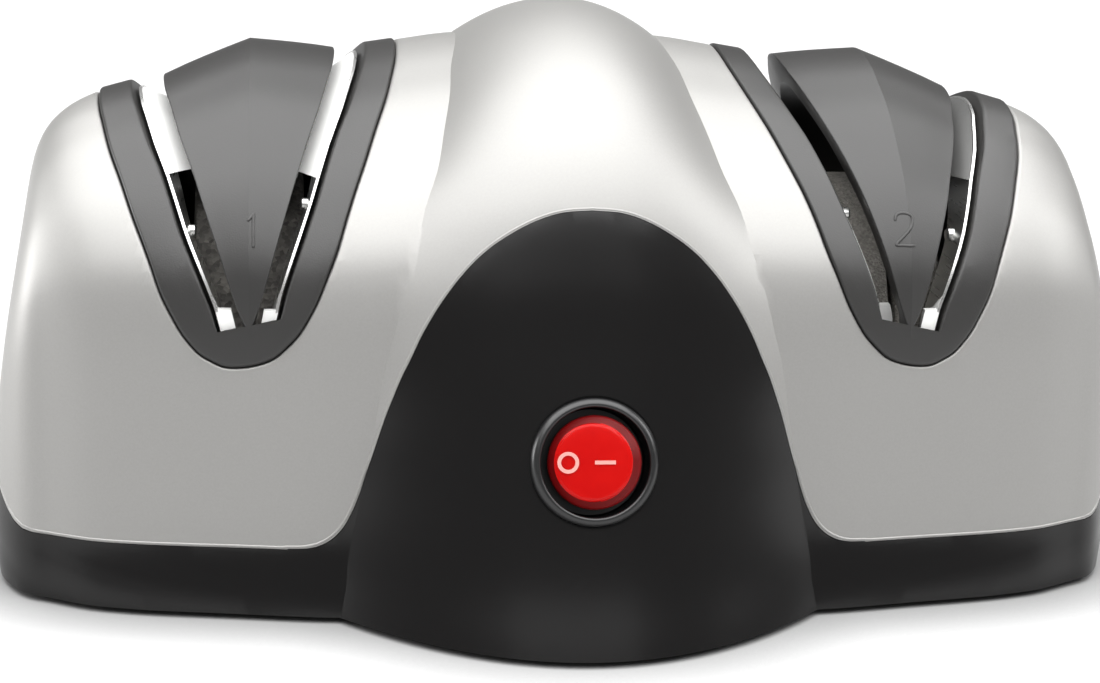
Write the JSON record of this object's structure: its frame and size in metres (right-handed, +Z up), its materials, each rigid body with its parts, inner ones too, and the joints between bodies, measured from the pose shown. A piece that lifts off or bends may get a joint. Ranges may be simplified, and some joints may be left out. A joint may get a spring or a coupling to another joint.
{
  "type": "electric knife sharpener",
  "caption": "Worktop electric knife sharpener with V-shaped guide slots over coarse and fine grinding wheels, a domed silver shell, a black base and a round red rocker switch.",
  "frame": {"origin": "bottom centre of the whole part, on the plane of the feet", "axes": "+X along the length to the fine module, +Y to the back, +Z up; the nose with the switch faces -Y"},
  "size_m": [0.2192, 0.1358, 0.1056],
  "materials": {
    "silver_shell": "satin silver paint on a plastic moulding",
    "black_base": "satin black plastic",
    "grey_guide": "fine matt dark grey plastic",
    "spring_steel": "polished spring steel",
    "turned_steel": "turned steel",
    "fine_abrasive": "fine bonded abrasive",
    "coarse_abrasive": "coarse bonded abrasive",
    "bracket_metal": "die cast",
    "bearing_bronze": "sintered bronze",
    "motor_iron": "laminated sheet iron",
    "copper_winding": "enamelled copper wire",
    "fan_plastic": "moulded plastic",
    "switch_grey": "satin dark grey plastic",
    "red_rocker": "translucent red plastic",
    "terminal_brass": "plated brass",
    "foot_rubber": "matt rubber",
    "inlet_rubber": "matt rubber"
  },
  "bodies": {
    "housing": {"upper_housing": "silver_shell", "base_housing": "black_base", "guide_fine": "grey_guide", "guide_coarse": "grey_guide", "bearing_bracket_fine": "bracket_metal", "bearing_fine": "bearing_bronze", "bearing_bracket_coarse": "bracket_metal", "bearing_coarse": "bearing_bronze", "motor_stator": "motor_iron", "motor_coil": "copper_winding", "switch_body": "switch_grey", "switch_terminal_1": "terminal_brass", "switch_terminal_2": "terminal_brass", "switch_terminal_3": "terminal_brass", "foot_front_right": "foot_rubber", "foot_back_right": "foot_rubber", "foot_front_left": "foot_rubber", "foot_back_left": "foot_rubber", "cord_inlet": "inlet_rubber"},
    "drive": {"drive_shaft": "turned_steel", "wheel_fine_outer": "fine_abrasive", "wheel_fine_inner": "fine_abrasive", "wheel_coarse_outer": "coarse_abrasive", "wheel_coarse_inner": "coarse_abrasive", "spacer_fine": "turned_steel", "spacer_coarse": "turned_steel", "sleeve_fine": "turned_steel", "sleeve_coarse": "turned_steel", "washer_fine": "turned_steel", "washer_coarse": "turned_steel", "nut_fine": "turned_steel", "nut_coarse": "turned_steel", "motor_rotor": "motor_iron", "cooling_fan": "fan_plastic", "fan_sleeve": "turned_steel"},
    "rocker": {"switch_rocker": "red_rocker"},
    "spring_plate_fine_outer": {"spring_plate_fine_outer": "spring_steel"},
    "spring_plate_fine_inner": {"spring_plate_fine_inner": "spring_steel"},
    "spring_plate_coarse_outer": {"spring_plate_coarse_outer": "spring_steel"},
    "spring_plate_coarse_inner": {"spring_plate_coarse_inner": "spring_steel"}
  },
  "joints": [
    {"name": "drive_spin", "type": "hinge", "parent": "housing", "child": "drive", "pos_m": [0, 0.00487, 0.0415], "axis": [1, 0, 0], "continuous": true},
    {"name": "switch_rock", "type": "hinge", "parent": "housing", "child": "rocker", "pos_m": [0, -0.05345, 0.0334], "axis": [0, 0.3368, 0.9416], "range_deg": [0, 12]},
    {"name": "plate_fine_outer_flex", "type": "hinge", "parent": "housing", "child": "spring_plate_fine_outer", "pos_m": [0.0652, 0.00487, 0.05], "axis": [0, 1, 0], "range_deg": [0, 0.8], "stiffness_Nm_per_rad": 1, "springref_deg": -0.57},
    {"name": "plate_fine_inner_flex", "type": "hinge", "parent": "housing", "child": "spring_plate_fine_inner", "pos_m": [0.0568, 0.00487, 0.05], "axis": [0, -1, 0], "range_deg": [0, 0.8], "stiffness_Nm_per_rad": 1, "springref_deg": -0.57},
    {"name": "plate_coarse_outer_flex", "type": "hinge", "parent": "housing", "child": "spring_plate_coarse_outer", "pos_m": [-0.0652, 0.00487, 0.05], "axis": [0, -1, 0], "range_deg": [0, 0.8], "stiffness_Nm_per_rad": 1, "springref_deg": -0.57},
    {"name": "plate_coarse_inner_flex", "type": "hinge", "parent": "housing", "child": "spring_plate_coarse_inner", "pos_m": [-0.0568, 0.00487, 0.05], "axis": [0, 1, 0], "range_deg": [0, 0.8], "stiffness_Nm_per_rad": 1, "springref_deg": -0.57}
  ]
}
